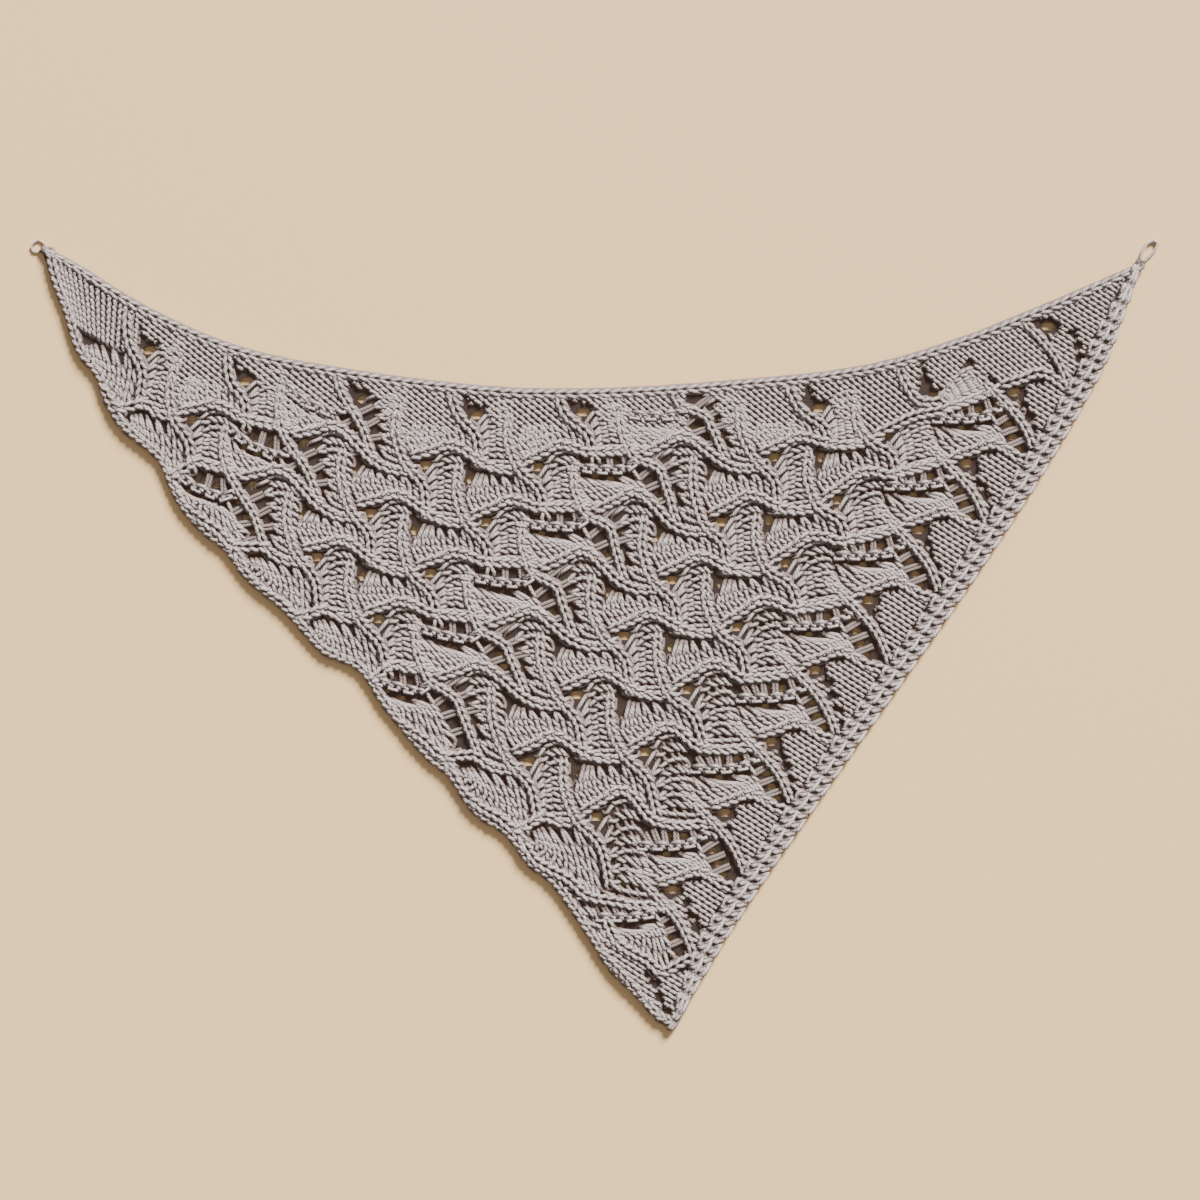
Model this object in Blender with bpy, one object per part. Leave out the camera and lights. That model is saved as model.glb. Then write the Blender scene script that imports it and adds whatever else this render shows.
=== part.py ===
"""Hand-knitted lace bandana, laid flat: a lace triangle in basket blocks, two edgings and two tip loops.

Design values are millimetres, seen from above with +X right and +Y away. The meshes are in metres.
The underside is flat at z = 0, and the relief of the knitting rises from a plain cloth height.
"""
import math

import bpy
from mathutils import Vector
from mathutils.geometry import delaunay_2d_cdt

MM = 0.001

CLOTH_HEIGHT = 3.0
RIM_HEIGHT = 2.7
VALLEY_HEIGHT = 2.1
CREST_HEIGHT = 5.2
SELVEDGE_HEIGHT = 4.4
SEAM_GAP = 0.3
OUTLINE_STEP = 6.0
SHORTEST_SIDE = 1.5
CLEARANCE = 1.9
RIM_CLEARANCE = 1.2
BRIDGE = 0.9
HOLE_REACH = 14.0
CREASE_ANGLE = 35.0

TOP_EDGING_WIDTH = 5.5
TOP_EDGING_TIP_WIDTH = 2.2
RIGHT_EDGING_WIDTH = 11.0
RIGHT_EDGING_TIP_WIDTH = 3.0
TIP_TAPER = 45.0
SELVEDGE_INSET = 3.2

LOOP_LIFT = 0.25
LOOP_STEP = 1.6
LEFT_LOOP_THREAD = 1.1
RIGHT_LOOP_THREAD = 1.6

# Each edge is a smooth curve through (x, y).
TOP_EDGE = [
    (-274.5, 192.0), (-258.0, 183.5), (-217.0, 159.5), (-172.0, 141.5), (-112.0, 130.0), (-50.0, 123.0),
    (0.0, 122.0), (62.0, 125.5), (132.0, 133.0), (183.0, 147.5), (227.0, 165.0), (272.5, 184.0),
]
RIGHT_EDGE = [
    (272.5, 182.5), (262.5, 153.5), (252.5, 128.5), (222.5, 77.0), (183.0, 17.0), (128.0, -61.5),
    (78.0, -134.0), (53.0, -174.0), (40.0, -197.0),
]
# The last blocks of each tier hang past the one above, so this edge is scalloped.
LEFT_EDGE = [
    (-274.5, 190.0), (-271.5, 176.0), (-265.5, 161.0), (-262.5, 150.0), (-258.0, 138.5), (-249.5, 128.5),
    (-245.0, 115.0), (-236.0, 101.0), (-218.5, 86.5), (-213.5, 75.0), (-207.0, 62.0), (-195.0, 48.5),
    (-185.0, 41.0), (-174.0, 26.0), (-156.0, 11.0), (-142.5, -4.0), (-135.0, -11.5), (-118.0, -19.0),
    (-108.0, -34.0), (-96.5, -49.0), (-83.5, -64.0), (-73.5, -71.5), (-64.0, -86.5), (-56.5, -94.0),
    (-44.0, -101.5), (-33.5, -116.5), (-23.0, -124.0), (-12.0, -139.0), (-2.0, -154.0), (7.5, -169.0),
    (22.5, -184.0), (31.0, -194.0), (38.5, -197.0),
]

# Open corners where four blocks meet, one row for each tier, from the top edge down to the left edge.
CORNERS = {
    "tier_0": [(-222.5, 141.0)],
    "tier_1": [(-174.0, 125.5), (-202.0, 106.5)],
    "tier_2": [(-115.0, 116.5), (-144.0, 94.5), (-170.0, 73.5)],
    "tier_3": [(-58.5, 108.5), (-84.5, 83.5), (-112.0, 59.5), (-139.0, 37.5)],
    "tier_4": [(-5.5, 110.0), (-28.5, 82.5), (-54.5, 55.0), (-82.5, 29.5), (-108.5, 6.5)],
    "tier_5": [(54.5, 113.5), (32.0, 87.5), (8.0, 58.5), (-19.0, 29.0), (-45.5, -0.5), (-70.5, -26.5)],
    "tier_6": [
        (113.0, 112.0), (90.0, 87.5), (64.0, 55.0), (39.0, 26.0), (15.0, -2.0), (-8.5, -31.5), (-33.0, -65.0),
    ],
    "tier_7": [
        (171.0, 118.0), (147.0, 99.0), (121.0, 66.0), (95.0, 34.5), (71.0, 2.5), (46.0, -29.0),
        (25.0, -60.0), (0.5, -92.5),
    ],
    "tier_8": [
        (227.0, 153.0), (210.0, 120.0), (186.0, 84.5), (162.0, 51.0), (137.0, 16.0), (110.0, -19.0),
        (88.0, -55.0), (65.0, -90.5), (38.5, -129.0),
    ],
}
TIERS = list(CORNERS.values())

# Half width and half height of each kind of hole.
HOLE_SIZES = {
    "corner": (4.2, 2.3), "start": (2.3, 2.6), "over": (2.5, 1.6), "pickup": (2.3, 1.7), "column": (2.6, 1.8),
}
HOLE_SIDES = 6

# Places of the holes, measured from their block's corner: x, y.
PLAIN_CORNER = {"corner": [(0.0, 0.0)]}
PLAIN_HOLES = {"corner": [(0.0, 0.0)], "start": [(-7.5, 21.5)]}
LACE_HOLES = {
    2: {
        "corner": [(0.0, 0.0)], "start": [(-12.0, 23.5)],
        "over": [(1.5, 23.5), (9.0, 21.0), (16.0, 20.5)],
        "pickup": [(-5.5, 18.5), (1.0, 15.5), (8.0, 13.0)],
        "column": [(18.5, 15.5), (22.5, 9.5), (24.5, 3.0), (27.5, -4.5)],
    },
    5: {
        "corner": [(0.0, 0.0)], "start": [(-15.0, 22.0)],
        "over": [(1.0, 27.0), (8.0, 26.0), (15.5, 26.0)],
        "pickup": [(-7.5, 20.0), (0.0, 18.0), (7.0, 17.0)],
        "column": [(19.0, 21.0), (23.0, 15.0), (25.0, 9.0), (27.5, 1.5)],
    },
    8: {
        "corner": [(0.0, 0.0)], "start": [(-17.0, 17.0)],
        "over": [(-1.5, 27.0), (6.0, 27.0), (15.5, 30.0)],
        "pickup": [(-10.0, 17.0), (-2.5, 17.5), (5.0, 18.0)],
        "column": [(17.5, 25.0), (21.0, 19.5), (23.5, 13.0), (26.0, 7.0)],
    },
}
# The last block of a lace tier hangs at the left edge, and its holes are measured from the last corner.
EDGE_HOLES = {
    "over": [(-25.0, 2.5), (-18.5, 0.0), (-11.0, -2.0)],
    "pickup": [(-34.0, -3.5), (-26.0, -7.0), (-18.5, -11.0)],
    "column": [(-7.5, -8.5), (-4.5, -16.5), (-1.5, -24.0), (1.0, -32.0)],
}

# Near the top edging a block has only its corner hole, and the second of a lace tier a column too.
TOP_STEPS = 2
TOP_HOLES = {
    2: [(18.5, 15.5), (22.5, 9.5), (24.5, 3.0), (27.5, -4.5)],
    5: [(21.5, 26.0), (18.0, 14.0), (22.0, 8.0), (26.0, 0.5)],
    8: [(17.5, 25.0), (21.0, 19.5), (23.5, 13.0), (26.0, 7.0)],
}

# Raised and sunken lines of one block, in steps along the tier (v) and across the tiers (u).
RIDGE = [
    (-0.21, 0.0), (-0.10, -0.14), (0.0, -0.27), (0.15, -0.34), (0.30, -0.40), (0.52, -0.45), (0.72, -0.59),
    (0.91, -0.75),
]
SEAM = [(-0.46, 0.02), (-0.31, 0.06), (-0.17, 0.09), (0.11, 0.18), (0.30, 0.37), (0.48, 0.51)]
RIDGE_VALLEY = [(-0.42, -0.32), (0.30, -0.19), (0.50, -0.28), (0.72, -0.40), (0.92, -0.55)]
SEAM_VALLEY = [(-0.33, -0.12), (0.22, 0.08), (0.38, 0.25), (0.55, 0.38)]
FIELD = [(-0.16, -0.62), (0.14, -0.62), (0.36, 0.02), (0.52, 0.14), (0.40, -0.80), (0.66, -0.10)]

# Cross sections of the edgings: share of the width from the cloth outwards, height.
TOP_SECTION = [(0.0, 0.0), (0.0, 2.6), (0.25, 4.0), (0.60, 4.6), (0.88, 3.8), (1.0, 1.8), (1.0, 0.0)]
RIGHT_SECTION = [
    (0.0, 0.0), (0.0, 2.6), (0.12, 4.1), (0.28, 4.6), (0.46, 3.1), (0.64, 4.5), (0.84, 4.2), (1.0, 1.8),
    (1.0, 0.0),
]

LEFT_LOOP = [
    (-275.0, 193.6), (-278.4, 196.2), (-280.6, 195.0), (-282.2, 192.6), (-281.2, 190.6), (-278.2, 190.2),
    (-275.6, 191.6),
]
RIGHT_LOOP = [
    (273.2, 185.6), (274.2, 190.0), (276.8, 194.4), (279.8, 196.0), (281.8, 194.6), (280.8, 191.6),
    (277.8, 188.2), (274.6, 185.2),
]


def smooth_path(points, step, cyclic=False):
    """Points about one step apart on the smooth curve through the given points."""
    count = len(points)
    path = []
    spans = count if cyclic else count - 1
    for i in range(spans):
        if cyclic:
            p0, p1, p2, p3 = (Vector(points[(i + j) % count]) for j in (-1, 0, 1, 2))
        else:
            p1, p2 = Vector(points[i]), Vector(points[i + 1])
            p0 = Vector(points[i - 1]) if i else 2 * p1 - p2
            p3 = Vector(points[i + 2]) if i + 2 < count else 2 * p2 - p1
        parts = max(1, round((p2 - p1).length / step))
        for j in range(parts):
            t = j / parts
            path.append(0.5 * (2 * p1 + (p2 - p0) * t + (2 * p0 - 5 * p1 + 4 * p2 - p3) * t * t
                               + (3 * p1 - p0 - 3 * p2 + p3) * t * t * t))
    if not cyclic:
        path.append(Vector(points[-1]))
    return path


def offset_path(path, distance_at):
    """The path moved to its right by distance_at(length so far, whole length)."""
    lengths = [0.0]
    for a, b in zip(path, path[1:]):
        lengths.append(lengths[-1] + (b - a).length)
    moved = []
    for i, point in enumerate(path):
        along = (path[min(i + 1, len(path) - 1)] - path[max(i - 1, 0)]).normalized()
        moved.append(point + Vector((along.y, -along.x)) * distance_at(lengths[i], lengths[-1]))
    return moved


def lengthened(path, extra):
    """The path carried straight on past both ends."""
    first = path[0] + (path[0] - path[1]).normalized() * extra
    last = path[-1] + (path[-1] - path[-2]).normalized() * extra
    return [first] + path + [last]


def crossing(path_a, path_b):
    """Index of the last point of each path before their first crossing, and the crossing point."""
    for i, (a0, a1) in enumerate(zip(path_a, path_a[1:])):
        for j, (b0, b1) in enumerate(zip(path_b, path_b[1:])):
            da, db = a1 - a0, b1 - b0
            turn = da.cross(db)
            if abs(turn) < 1e-9:
                continue
            s = (b0 - a0).cross(db) / turn
            t = (b0 - a0).cross(da) / turn
            if 0 <= s <= 1 and 0 <= t <= 1:
                return i, j, a0 + da * s
    raise ValueError("the paths do not cross")


def inside(point, loop):
    """True where the point is inside the closed loop."""
    hit = False
    for a, b in zip(loop, loop[1:] + loop[:1]):
        if (a.y > point.y) != (b.y > point.y):
            if point.x < a.x + (point.y - a.y) / (b.y - a.y) * (b.x - a.x):
                hit = not hit
    return hit


def loop_distance(point, loop):
    """Shortest distance from the point to the closed loop."""
    nearest = math.inf
    for a, b in zip(loop, loop[1:] + loop[:1]):
        side = b - a
        t = max(0.0, min(1.0, (point - a).dot(side) / side.length_squared))
        nearest = min(nearest, (a + side * t - point).length)
    return nearest


def drop_close(path, least):
    """The path without points closer than the least distance to the one before."""
    kept = [path[0]]
    for point in path[1:]:
        if (point - kept[-1]).length >= least:
            kept.append(point)
    return kept


def edge_curves():
    """Outer edges and the inner edges of the two edgings, all running from the left tip round clockwise."""
    top = smooth_path(TOP_EDGE, OUTLINE_STEP)
    right = smooth_path(RIGHT_EDGE, OUTLINE_STEP)
    left = smooth_path(LEFT_EDGE, OUTLINE_STEP)

    def top_width(along, whole):
        share = min(1.0, along / TIP_TAPER, (whole - along) / TIP_TAPER)
        return TOP_EDGING_TIP_WIDTH + (TOP_EDGING_WIDTH - TOP_EDGING_TIP_WIDTH) * share

    def right_width(along, whole):
        share = min(1.0, along / TIP_TAPER, (whole - along) / TIP_TAPER)
        return RIGHT_EDGING_TIP_WIDTH + (RIGHT_EDGING_WIDTH - RIGHT_EDGING_TIP_WIDTH) * share

    return top, right, left, offset_path(top, top_width), offset_path(right, right_width)


def panel_outline(top_inner, right_inner, left):
    """Closed loop of the lace panel, a seam gap inside the edgings."""
    top = lengthened(offset_path(top_inner, lambda along, whole: SEAM_GAP), 2 * SEAM_GAP)
    right = lengthened(offset_path(right_inner, lambda along, whole: SEAM_GAP), RIGHT_EDGING_WIDTH)
    i, j, corner = crossing(top, right)
    top, right = top[:i + 1] + [corner], right[j + 1:]
    a, b, low = crossing(right, left)
    right, left = right[:a + 1] + [low], left[:b + 1]
    first = next(n for n, point in enumerate(left) if point.y < top[0].y - SEAM_GAP)
    loop = drop_close(top + right + left[:first:-1], SHORTEST_SIDE)
    return loop[::-1]


def corner_at(tier, step):
    """Corner of a tier, carried one step past either end along the tier."""
    row = TIERS[tier]
    if 0 <= step < len(row):
        return Vector(row[step])
    along = tier_step(tier, 0 if step < 0 else len(row) - 1)
    return Vector(row[0]) - along if step < 0 else Vector(row[-1]) + along


def tier_step(tier, step):
    """Vector from a corner to the next one down its tier."""
    row = TIERS[tier]
    if len(row) == 1:
        return tier_step(tier + 1, 0)
    at = max(0, min(step, len(row) - 2))
    return Vector(row[at + 1]) - Vector(row[at])


def across_step(tier, step):
    """Vector from a corner to the one diagonally below it on the next tier."""
    at = min(tier, len(TIERS) - 2)
    here = max(1, min(step, len(TIERS[at]) - 1)) if len(TIERS[at]) > 1 else 0
    return Vector(TIERS[at + 1][here + 1]) - Vector(TIERS[at][here])


def hole_loop(centre, half_width, half_height):
    """Clockwise loop of one hole."""
    loop = []
    for i in range(HOLE_SIDES):
        angle = -2 * math.pi * i / HOLE_SIDES
        loop.append(centre + Vector((half_width * math.cos(angle), half_height * math.sin(angle))))
    return loop


def cut_holes(outline):
    """Loops of every hole that is cut through the panel, each clear of the outline and of the others."""
    wanted = []
    for tier, row in enumerate(TIERS):
        sets = [(corner, PLAIN_CORNER) for corner in row[:TOP_STEPS]]
        sets += [(corner, LACE_HOLES.get(tier, PLAIN_HOLES)) for corner in row[TOP_STEPS:]]
        if tier in LACE_HOLES:
            sets += [(row[1], {"column": TOP_HOLES[tier]}), (row[-1], EDGE_HOLES)]
        for (x, y), kinds in sets:
            for kind, places in kinds.items():
                wanted += [hole_loop(Vector((x + dx, y + dy)), *HOLE_SIZES[kind]) for dx, dy in places]
    holes = []
    for loop in wanted:
        clear = all(inside(point, outline) and loop_distance(point, outline) > CLEARANCE for point in loop)
        near = [other for other in holes if (other[0] - loop[0]).length < HOLE_REACH]
        if clear and all(loop_distance(point, other) > BRIDGE for other in near for point in loop):
            holes.append(loop)
    return holes


def relief_points(outline, holes, left):
    """Inner points of the panel's upper face: (x, y) and height."""
    wanted = []
    for tier in range(len(TIERS)):
        for step in range(-1, len(TIERS[tier]) + 1):
            corner = corner_at(tier, step)
            u, v = across_step(tier, step), tier_step(tier, step)
            lines = (
                (RIDGE, CREST_HEIGHT), (SEAM, CREST_HEIGHT), (RIDGE_VALLEY, VALLEY_HEIGHT),
                (SEAM_VALLEY, VALLEY_HEIGHT), (FIELD, CLOTH_HEIGHT),
            )
            for line, height in lines:
                wanted += [(corner + u * a + v * c, height) for a, c in line]
    selvedge = offset_path(left[::-1], lambda along, whole: SELVEDGE_INSET)
    wanted = [(point, SELVEDGE_HEIGHT) for point in selvedge] + wanted
    kept = []
    for point, height in wanted:
        if not inside(point, outline) or loop_distance(point, outline) < CLEARANCE:
            continue
        near = [hole for hole in holes if (hole[0] - point).length < HOLE_REACH]
        if any(inside(point, hole) or loop_distance(point, hole) < RIM_CLEARANCE for hole in near):
            continue
        if all((point - other).length > CLEARANCE for other, _ in kept):
            kept.append((point, height))
    return kept


def triangulate(loops, extra):
    """Triangles between the outline, the holes and the extra points, as indices into loops then extra."""
    points, edges = [], []
    for loop in loops:
        start = len(points)
        points += loop
        edges += [(start + i, start + (i + 1) % len(loop)) for i in range(len(loop))]
    points = points + extra
    verts, _, faces, origin, _, _ = delaunay_2d_cdt(points, edges, [], 0, 1e-5)
    number = [source[0] for source in origin]
    kept = []
    for face in faces:
        centre = sum((verts[i] for i in face), Vector((0.0, 0.0))) / 3
        if not inside(centre, loops[0]):
            continue
        if any((hole[0] - centre).length < HOLE_REACH and inside(centre, hole) for hole in loops[1:]):
            continue
        a, b, c = (verts[i] for i in face)
        tri = [number[i] for i in face]
        kept.append(tri if (b - a).cross(c - a) > 0 else tri[::-1])
    return kept


def make_object(name, verts, faces, material):
    """A mesh object from points in millimetres."""
    mesh = bpy.data.meshes.new(name)
    mesh.from_pydata([Vector(v) * MM for v in verts], [], faces)
    mesh.materials.append(material)
    mesh.shade_smooth()
    mesh.set_sharp_from_angle(angle=math.radians(CREASE_ANGLE))
    obj = bpy.data.objects.new(name, mesh)
    bpy.context.collection.objects.link(obj)
    return obj


def make_material(name, colour, roughness):
    material = bpy.data.materials.new(name)
    material.use_nodes = True
    shader = material.node_tree.nodes["Principled BSDF"]
    shader.inputs["Base Color"].default_value = (*colour, 1.0)
    shader.inputs["Roughness"].default_value = roughness
    shader.inputs["Metallic"].default_value = 0.0
    return material


def make_panel(outline, left, material):
    """The lace cloth: flat below, ridges and seams above, and its larger holes cut through."""
    holes = cut_holes(outline)
    relief = relief_points(outline, holes, left)
    loops = [outline] + holes
    rim = [point for loop in loops for point in loop]
    inner = [point for point, _ in relief]
    verts = [(p.x, p.y, RIM_HEIGHT) for p in rim] + [(p.x, p.y, height) for p, height in relief]
    base = len(verts)
    verts += [(p.x, p.y, 0.0) for p in rim]
    faces = triangulate(loops, inner)
    faces += [[base + i for i in reversed(tri)] for tri in triangulate(loops, [])]
    start = 0
    for n, loop in enumerate(loops):
        for i in range(len(loop)):
            a, b = start + i, start + (i + 1) % len(loop)
            faces.append([a, base + a, base + b])
            faces.append([a, base + b, b])
        start += len(loop)
    return make_object("lace_panel", verts, faces, material)


def make_band(name, outer, inner, section, material):
    """An edging swept between its outer and inner edge."""
    verts, faces = [], []
    count = len(section)
    for edge, root in zip(outer, inner):
        for share, height in section:
            spot = root.lerp(edge, share)
            verts.append((spot.x, spot.y, height))
    for i in range(len(outer) - 1):
        for j in range(count):
            a, b = i * count + j, i * count + (j + 1) % count
            faces.append([a, a + count, b + count, b])
    faces.append(list(range(count)))
    faces.append([(len(outer) - 1) * count + j for j in reversed(range(count))])
    return make_object(name, verts, faces, material)


def make_loop(name, points, thread, material):
    """A closed loop of thread that lies on the surface."""
    path = smooth_path(points, LOOP_STEP * thread, cyclic=True)
    curve = bpy.data.curves.new(name, "CURVE")
    curve.dimensions = "3D"
    curve.bevel_depth = thread / 2 * MM
    curve.bevel_resolution = 2
    spline = curve.splines.new("POLY")
    spline.points.add(len(path) - 1)
    height = thread / 2 + LOOP_LIFT
    for point, spot in zip(spline.points, path):
        point.co = (spot.x * MM, spot.y * MM, height * MM, 1.0)
    spline.use_cyclic_u = True
    curve.materials.append(material)
    obj = bpy.data.objects.new(name, curve)
    bpy.context.collection.objects.link(obj)
    return obj


def main():
    for obj in list(bpy.data.objects):
        bpy.data.objects.remove(obj)
    knit = make_material("greige_knit", (0.42, 0.36, 0.34), 0.9)
    top_knit = make_material("greige_top_edging", (0.48, 0.42, 0.40), 0.9)
    right_knit = make_material("greige_right_edging", (0.45, 0.39, 0.37), 0.9)
    left_thread = make_material("pale_left_thread", (0.72, 0.68, 0.63), 0.5)
    right_thread = make_material("pale_right_thread", (0.74, 0.69, 0.66), 0.7)

    top, right, left, top_inner, right_inner = edge_curves()
    make_panel(panel_outline(top_inner, right_inner, left), left, knit)
    make_band("top_edging", top, top_inner, TOP_SECTION, top_knit)
    seam = lengthened(offset_path(top_inner, lambda along, whole: SEAM_GAP), RIGHT_EDGING_WIDTH)
    root_at, _, root = crossing(lengthened(right_inner, RIGHT_EDGING_WIDTH)[:-1], seam)
    edge_at, _, edge = crossing(lengthened(right, RIGHT_EDGING_WIDTH)[:-1], seam)
    start = max(root_at, edge_at)
    make_band("right_edging", [edge] + right[start:], [root] + right_inner[start:], RIGHT_SECTION, right_knit)
    make_loop("left_loop", LEFT_LOOP, LEFT_LOOP_THREAD, left_thread)
    make_loop("right_loop", RIGHT_LOOP, RIGHT_LOOP_THREAD, right_thread)


main()
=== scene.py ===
import math

import bpy
import numpy as np
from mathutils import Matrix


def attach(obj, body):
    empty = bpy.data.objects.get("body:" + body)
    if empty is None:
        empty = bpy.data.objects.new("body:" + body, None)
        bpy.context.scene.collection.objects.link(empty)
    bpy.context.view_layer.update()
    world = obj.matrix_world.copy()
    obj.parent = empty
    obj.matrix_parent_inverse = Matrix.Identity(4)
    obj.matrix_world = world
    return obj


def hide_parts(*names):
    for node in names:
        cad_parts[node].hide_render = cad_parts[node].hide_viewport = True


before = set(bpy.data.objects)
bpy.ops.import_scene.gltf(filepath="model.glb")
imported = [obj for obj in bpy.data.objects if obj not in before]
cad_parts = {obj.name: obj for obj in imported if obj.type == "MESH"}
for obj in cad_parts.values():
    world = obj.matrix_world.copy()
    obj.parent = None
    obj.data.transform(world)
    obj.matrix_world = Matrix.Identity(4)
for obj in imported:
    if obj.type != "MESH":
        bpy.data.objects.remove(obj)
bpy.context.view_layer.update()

mm = 0.001

# The cloth's plan, in millimetres from above

edges = {
    "top": [
        (-274.5, 192.0), (-258.0, 183.5), (-217.0, 159.5), (-172.0, 141.5), (-112.0, 130.0), (-50.0, 123.0),
        (0.0, 122.0), (62.0, 125.5), (132.0, 133.0), (183.0, 147.5), (227.0, 165.0), (272.5, 184.0),
    ],
    "right": [
        (272.5, 182.5), (262.5, 153.5), (252.5, 128.5), (222.5, 77.0), (183.0, 17.0), (128.0, -61.5),
        (78.0, -134.0), (53.0, -174.0), (40.0, -197.0),
    ],
    "left": [
        (-274.5, 190.0), (-271.5, 176.0), (-265.5, 161.0), (-262.5, 150.0), (-258.0, 138.5), (-249.5, 128.5),
        (-245.0, 115.0), (-236.0, 101.0), (-218.5, 86.5), (-213.5, 75.0), (-207.0, 62.0), (-195.0, 48.5),
        (-185.0, 41.0), (-174.0, 26.0), (-156.0, 11.0), (-142.5, -4.0), (-135.0, -11.5), (-118.0, -19.0),
        (-108.0, -34.0), (-96.5, -49.0), (-83.5, -64.0), (-73.5, -71.5), (-64.0, -86.5), (-56.5, -94.0),
        (-44.0, -101.5), (-33.5, -116.5), (-23.0, -124.0), (-12.0, -139.0), (-2.0, -154.0), (7.5, -169.0),
        (22.5, -184.0), (31.0, -194.0), (38.5, -197.0),
    ],
}

# Open corners where four blocks meet, tier by tier from the top edge down to the left edge.
corners = [
    [(-222.5, 141.0)],
    [(-174.0, 125.5), (-202.0, 106.5)],
    [(-115.0, 116.5), (-144.0, 94.5), (-170.0, 73.5)],
    [(-58.5, 108.5), (-84.5, 83.5), (-112.0, 59.5), (-139.0, 37.5)],
    [(-5.5, 110.0), (-28.5, 82.5), (-54.5, 55.0), (-82.5, 29.5), (-108.5, 6.5)],
    [(54.5, 113.5), (32.0, 87.5), (8.0, 58.5), (-19.0, 29.0), (-45.5, -0.5), (-70.5, -26.5)],
    [(113.0, 112.0), (90.0, 87.5), (64.0, 55.0), (39.0, 26.0), (15.0, -2.0), (-8.5, -31.5), (-33.0, -65.0)],
    [
        (171.0, 118.0), (147.0, 99.0), (121.0, 66.0), (95.0, 34.5), (71.0, 2.5), (46.0, -29.0), (25.0, -60.0),
        (0.5, -92.5),
    ],
    [
        (227.0, 153.0), (210.0, 120.0), (186.0, 84.5), (162.0, 51.0), (137.0, 16.0), (110.0, -19.0),
        (88.0, -55.0), (65.0, -90.5), (38.5, -129.0),
    ],
]
lastTier = 8  # beside the right edging

lattice = {
    "across": (29.5, -28.5),  # usual step from a corner to the next tier's, down to the right
    "along": (-27.5, -24.0),  # usual step to the next corner of the same tier, down to the left
}


def cubicTerms(m, k):
    return np.stack([m * 0 + 1, m, k, m * m, m * k, k * k, m ** 3, m * m * k, m * k * k, k ** 3], axis=-1)


cornerSteps = np.array([(m, k) for m, row in enumerate(corners) for k in range(len(row))], float)
cornerSpots = np.array([spot for row in corners for spot in row], float)
cornerFit = np.linalg.lstsq(cubicTerms(cornerSteps[:, 0], cornerSteps[:, 1]), cornerSpots, rcond=None)[0]
cornerRest = np.zeros((lastTier + 1, lastTier + 1, 2))
for (m, k), left in zip(cornerSteps.astype(int), cornerSpots - cubicTerms(*cornerSteps.T) @ cornerFit):
    cornerRest[m, k] = left
for m in range(lastTier + 1):
    for k in range(m + 1, lastTier + 1):
        cornerRest[m, k] = cornerRest[m, m]


def place(m, k):
    # Where a lattice step falls on the cloth: a smooth fit, then each corner's own pull
    m, k = np.asarray(m, float), np.asarray(k, float)
    spot = cubicTerms(m, k) @ cornerFit
    mClip, kClip = np.clip(m, 0, lastTier), np.clip(k, 0, lastTier)
    m0, k0 = (np.minimum(clip.astype(int), lastTier - 1) for clip in (mClip, kClip))
    a, c = (mClip - m0)[..., None], (kClip - k0)[..., None]
    rest = (
        cornerRest[m0, k0] * (1 - a) * (1 - c) + cornerRest[m0 + 1, k0] * a * (1 - c)
        + cornerRest[m0, k0 + 1] * (1 - a) * c + cornerRest[m0 + 1, k0 + 1] * a * c
    )
    return spot + rest


def fromCorner(m, k, x, y):
    # A spot x, y millimetres from corner (m, k) on an evenly knitted cloth, carried to where
    # this cloth has it
    ux, uy = lattice["across"]
    vx, vy = lattice["along"]
    turn = ux * vy - uy * vx
    a = (x * vy - y * vx) / turn
    c = (ux * y - uy * x) / turn
    return place(m + a, k + a + c)


def curveThrough(stack, t):
    # Smooth curve through stack[:, 0], stack[:, 1]... at shares t, one curve for each row of the stack
    spans = stack.shape[1] - 1
    t = np.asarray(t, float) * spans
    i = np.clip(np.floor(t).astype(int), 0, spans - 1)
    f = (t - i)[:, None]
    first, last = 2 * stack[:, :1] - stack[:, 1:2], 2 * stack[:, -1:] - stack[:, -2:-1]
    stack = np.concatenate([first, stack, last], axis=1)
    at = np.arange(len(stack))
    p0, p1, p2, p3 = (stack[at, i + n] for n in range(4))
    return 0.5 * (2 * p1 + (p2 - p0) * f + (2 * p0 - 5 * p1 + 4 * p2 - p3) * f * f
                  + (3 * p1 - p0 - 3 * p2 + p3) * f ** 3)


def curveAt(points, t):
    # Smooth curve through the points at shares t of its spans
    points = np.asarray(points, float)
    return curveThrough(np.broadcast_to(points, (len(t), *points.shape)), t)


def evenPath(points, step=1.0):
    # The smooth curve through the points as short even steps
    fine = curveAt(points, np.linspace(0, 1, 40 * len(points)))
    run = np.concatenate([[0], np.cumsum(np.linalg.norm(np.diff(fine, axis=0), axis=1))])
    wanted = np.linspace(0, run[-1], max(2, int(run[-1] / step)))
    return np.stack([np.interp(wanted, run, fine[:, n]) for n in range(fine.shape[1])], axis=-1)


def sideways(path, distance):
    along = np.gradient(path[:, :2], axis=0)
    along /= np.linalg.norm(along, axis=1)[:, None]
    return path[:, :2] + np.stack([along[:, 1], -along[:, 0]], axis=-1) * np.reshape(distance, (-1, 1))


def pathLength(path):
    return float(np.linalg.norm(np.diff(path, axis=0), axis=1).sum())


def insideLoop(points, loop):
    hit = np.zeros(len(points), bool)
    x, y = points[:, 0], points[:, 1]
    for (ax, ay), (bx, by) in zip(loop, np.roll(loop, -1, axis=0)):
        if ay == by:
            continue
        hit ^= ((ay > y) != (by > y)) & (x < ax + (y - ay) / (by - ay) * (bx - ax))
    return hit


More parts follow.
